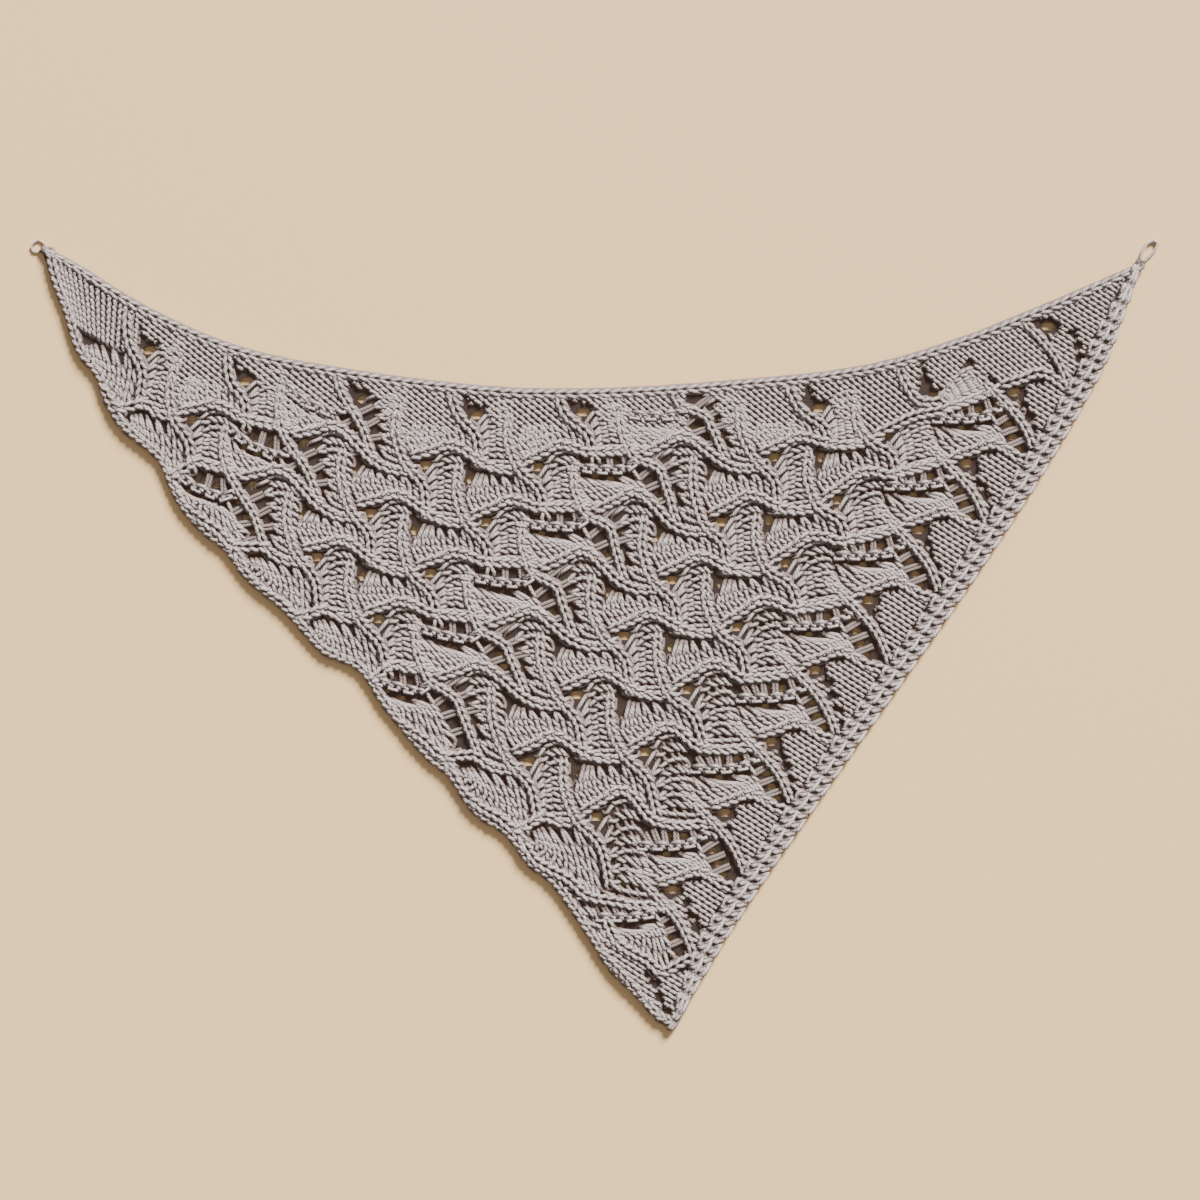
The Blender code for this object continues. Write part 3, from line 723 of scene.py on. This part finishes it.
greige = {
    # light and dark are the two ends of the yarn's painted light and shade
    "light": (0.68, 0.61, 0.59, 1), "dark": (0.17, 0.125, 0.108, 1), "paintedDeepShade": (0.08, 0.052, 0.04, 1),
    "plyTurn": 5.5,  # millimetres of yarn for one turn of the ply
    "plies": 3, "plyDepth": 0.00025, "rough": 0.85,
    "weights": {"paintedLight": 2.2, "groove": 0.25, "fleck": 0.4, "fibre": 0.3, "tone": 0.3, "base": 2.05},
    "deepBelow": 0.6, "clearAbove": 3.8,  # heights in millimetres: the painted shade is full below the first and gone above the second
    "fibreScale": 2600.0, "fleckScale": 240.0,
}


def makeYarnMaterial(name, look):
    material = bpy.data.materials.new(name)
    material.use_nodes = True
    graph = nodeGraph(material.node_tree)
    shader = material.node_tree.nodes["Principled BSDF"]
    place3d = graph.node("ShaderNodeTexCoord", out=3)
    ply = graph.node("ShaderNodeAttribute", {"attribute_name": "ply"}, out=1)
    parts = graph.node("ShaderNodeSeparateXYZ", {}, {0: ply})
    cosine, sine, along = (wire(graph, parts.socket.node.outputs[n]) for n in range(3))
    angle = graph.maths("ARCTAN2", sine, cosine)
    twist = angle * look["plies"] + along * (2 * math.pi * look["plies"] / (look["plyTurn"] * mm))
    groove = graph.maths("SINE", twist) * 0.5 + 0.5
    fibre = graph.node("ShaderNodeTexNoise", {},
                       {"Vector": place3d, "Scale": look["fibreScale"], "Detail": 3.0})
    fleck = graph.node("ShaderNodeTexNoise", {},
                       {"Vector": place3d, "Scale": look["fleckScale"], "Detail": 2.0})
    tone = graph.node("ShaderNodeAttribute", {"attribute_name": "tone"}, out=2)
    paintedLight = graph.node("ShaderNodeAttribute", {"attribute_name": "paintedLight"}, out=2)
    # The yarn's colour holds painted light and shade: it runs from dark to light with the painted light
    # stored on the yarn, and is darker in the ply grooves as painted shade; random flecks, fibres and each
    # run's tone vary it too
    share = look["weights"]
    shade = paintedLight * share["paintedLight"] + groove * share["groove"] + fleck * share["fleck"]
    shade = shade + fibre * share["fibre"] + tone * share["tone"] - share["base"]
    colour = graph.mix(graph.node("ShaderNodeClamp", {}, {0: shade}), look["dark"], look["light"])
    # Painted shade: the lower the yarn lies, the more its colour darkens towards the deep shade colour, as in
    # the hollows between the stitches
    height = graph.node("ShaderNodeSeparateXYZ", {}, {0: place3d}, out=2)
    depth = graph.node("ShaderNodeMapRange", {"interpolation_type": "SMOOTHSTEP"},
                       {0: height, 1: look["deepBelow"] * mm, 2: look["clearAbove"] * mm, 3: 0.0, 4: 1.0})
    colour = graph.mix(depth, look["paintedDeepShade"], colour)
    graph.feed(shader.inputs["Base Color"], colour)
    graph.feed(shader.inputs["Roughness"], look["rough"])
    bumpHeight = groove * 0.8 + fibre * 0.5
    bump = graph.node("ShaderNodeBump", {},
                      {"Strength": 0.6, "Distance": look["plyDepth"], "Height": bumpHeight})
    graph.feed(shader.inputs["Normal"], bump)
    return material


knitYarn = makeYarnMaterial("knitYarn", greige)

paintedShadeGroundLook = {
    # Painted shade: these dark colours stand for the shade between and under the stitches
    "light": (0.02, 0.011, 0.007, 1), "dark": (0.009, 0.005, 0.003, 1), "rough": 0.95,
    "through": (0.024, 0.012, 0.007, 1),  # painted glow, standing for daylight that comes through the wool
}
threadLook = {
    "light": (0.52, 0.45, 0.42, 1), "dark": (0.27, 0.21, 0.18, 1), "rough": 0.85, "through": (0, 0, 0, 1),
}


def makeWoolMaterial(name, look):
    material = bpy.data.materials.new(name)
    material.use_nodes = True
    graph = nodeGraph(material.node_tree)
    shader = material.node_tree.nodes["Principled BSDF"]
    place3d = graph.node("ShaderNodeTexCoord", out=3)
    fleck = graph.node("ShaderNodeTexNoise", {}, {"Vector": place3d, "Scale": 500.0, "Detail": 4.0})
    graph.feed(shader.inputs["Base Color"], graph.mix(fleck, look["dark"], look["light"]))
    # Painted glow: the surface gives off a little light of its own, standing for daylight scattered through
    # the wool; the loops' thread has none
    graph.feed(shader.inputs["Emission Color"], look["through"])
    graph.feed(shader.inputs["Emission Strength"], 1.0)
    graph.feed(shader.inputs["Roughness"], look["rough"])
    bump = graph.node("ShaderNodeBump", {}, {"Strength": 0.8, "Distance": 0.0004, "Height": fleck})
    graph.feed(shader.inputs["Normal"], bump)
    return material


yarnTree = makeYarnTree()
scene = bpy.context.scene


def makeYarnPiece(name, runs, material):
    values = {key: [] for key in ("spot", "course", "wale", "phase", "face", "girth", "tone")}
    links, start = [], 0
    for run in runs:
        count = len(run["spot"])
        kept = np.ones(count, bool)
        reached = run["spot"] - run["wale"] * stitch["reach"] * np.cos(run["phase"])[:, None]
        for loop in run["within"]:
            kept &= insideLoop(reached[:, :2], loop)
        for middle in run["clear"]:
            kept &= np.linalg.norm(reached[:, :2] - middle, axis=1) > stitch["clear"]
        if not kept.any():
            continue
        for key in values:
            values[key].append(run[key])
        both = np.nonzero(kept[:-1] & kept[1:])[0]
        links.append(np.stack([both, both + 1], axis=-1) + start)
        start += count
    links = np.concatenate(links)
    values = {key: np.concatenate(parts) for key, parts in values.items()}
    used = np.unique(links)
    number = np.full(start, -1)
    number[used] = np.arange(len(used))
    mesh = bpy.data.meshes.new(name)
    mesh.from_pydata(values["spot"][used] * mm, number[links].tolist(), [])
    for key in ("course", "wale"):
        layer = mesh.attributes.new(key, "FLOAT_VECTOR", "POINT")
        layer.data.foreach_set("vector", (values[key][used] * mm).astype(np.float32).ravel())
    for key in ("phase", "face", "girth", "tone"):
        layer = mesh.attributes.new(key, "FLOAT", "POINT")
        layer.data.foreach_set("value", values[key][used].astype(np.float32))
    base = bpy.data.objects.new(name + "Path", mesh)
    scene.collection.objects.link(base)
    modifier = base.modifiers.new("stitches", "NODES")
    modifier.node_group = yarnTree
    given = {
        "Yarn radius": stitch["yarn"] * mm, "Lean": stitch["lean"], "Reach": stitch["reach"],
        "Depth": stitch["depth"] * mm, "Unevenness": stitch["uneven"] * mm, "Sides": stitch["sides"],
        "Seed": 4, "Material": material,
    }
    for item in yarnTree.interface.items_tree:
        if item.in_out == "INPUT" and item.name in given:
            modifier[item.identifier] = given[item.name]
    graphView = bpy.context.evaluated_depsgraph_get()
    made = bpy.data.meshes.new_from_object(base.evaluated_get(graphView))
    made.name = name
    points = np.zeros(len(made.vertices) * 3)
    made.vertices.foreach_get("co", points)
    points[2::3] = np.maximum(points[2::3], stitch["floor"] * mm)  # nothing dips into what the cloth lies on
    made.vertices.foreach_set("co", points)
    bpy.data.objects.remove(base)
    piece = bpy.data.objects.new(name, made)
    scene.collection.objects.link(piece)
    made.calc_loop_triangles()
    print(name, len(made.loop_triangles), "triangles")
    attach(piece, "root")
    return piece


pieces = {name: makeYarnPiece(name, runs, knitYarn) for name, runs in yarns.items()}

# The ground under the yarn: the cloth's own plan and holes, thin, with painted shade: its dark colour stands
# for the shade between and under the stitches
ground = {"thickness": 0.8, "lift": 0.1, "most": 2.0}
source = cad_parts["lace_panel"].data
groundMesh = source.copy()
points = np.zeros(len(groundMesh.vertices) * 3)
groundMesh.vertices.foreach_get("co", points)
points = points.reshape(-1, 3)
points[:, 2] = np.minimum(points[:, 2] * ground["thickness"], ground["most"] * mm) + ground["lift"] * mm
groundMesh.vertices.foreach_set("co", points.ravel())
groundMesh.materials.clear()
groundMesh.materials.append(makeWoolMaterial("paintedShadeBacks", paintedShadeGroundLook))
groundCloth = bpy.data.objects.new("clothGround", groundMesh)
scene.collection.objects.link(groundCloth)
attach(groundCloth, "root")

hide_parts("lace_panel")
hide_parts("top_edging")
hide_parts("right_edging")

thread = makeWoolMaterial("loopThread", threadLook)
for name in ("left_loop", "right_loop"):
    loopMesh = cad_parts[name].data
    loopMesh.materials.clear()
    loopMesh.materials.append(thread)
print("loops coloured")

stageLook = {"colour": (0.72, 0.475, 0.23, 1), "rough": 0.6, "size": 6.0}
floorMesh = bpy.data.meshes.new("floor")
half = stageLook["size"] / 2
floorSpots = [(-half, -half, 0), (half, -half, 0), (half, half, 0), (-half, half, 0)]
floorMesh.from_pydata(floorSpots, [], [(0, 1, 2, 3)])
floorMaterial = bpy.data.materials.new("paleFloor")
floorMaterial.use_nodes = True
floorShader = floorMaterial.node_tree.nodes["Principled BSDF"]
floorShader.inputs["Base Color"].default_value = stageLook["colour"]
floorShader.inputs["Roughness"].default_value = stageLook["rough"]
floorMesh.materials.append(floorMaterial)
floor = bpy.data.objects.new("floor", floorMesh)
scene.collection.objects.link(floor)

light = {
    "energy": 13.3, "angle": 20.0, "tilt": 60.0, "turn": -28.0,
    "world": 0.42, "worldColour": (1.0, 0.98, 0.96, 1),
}
sun = bpy.data.lights.new("softKey", "SUN")
sun.energy = light["energy"]
sun.angle = math.radians(light["angle"])
sunObject = bpy.data.objects.new("softKey", sun)
sunObject.rotation_euler = (math.radians(-light["tilt"]), 0, math.radians(light["turn"]))
scene.collection.objects.link(sunObject)
world = bpy.data.worlds.new("studio")
world.use_nodes = True
world.node_tree.nodes["Background"].inputs["Color"].default_value = light["worldColour"]
world.node_tree.nodes["Background"].inputs["Strength"].default_value = light["world"]
scene.world = world

view = {"centre": (2.75, 16.0), "frame": 600.0, "lens": 90.0, "sensor": 36.0, "clothHeight": 3.0}
camera = bpy.data.cameras.new("fromAbove")
camera.lens = view["lens"]
camera.sensor_width = view["sensor"]
cameraObject = bpy.data.objects.new("fromAbove", camera)
distance = view["frame"] * view["lens"] / view["sensor"] + view["clothHeight"]
cameraObject.location = (view["centre"][0] * mm, view["centre"][1] * mm, distance * mm)
scene.collection.objects.link(cameraObject)
scene.camera = cameraObject
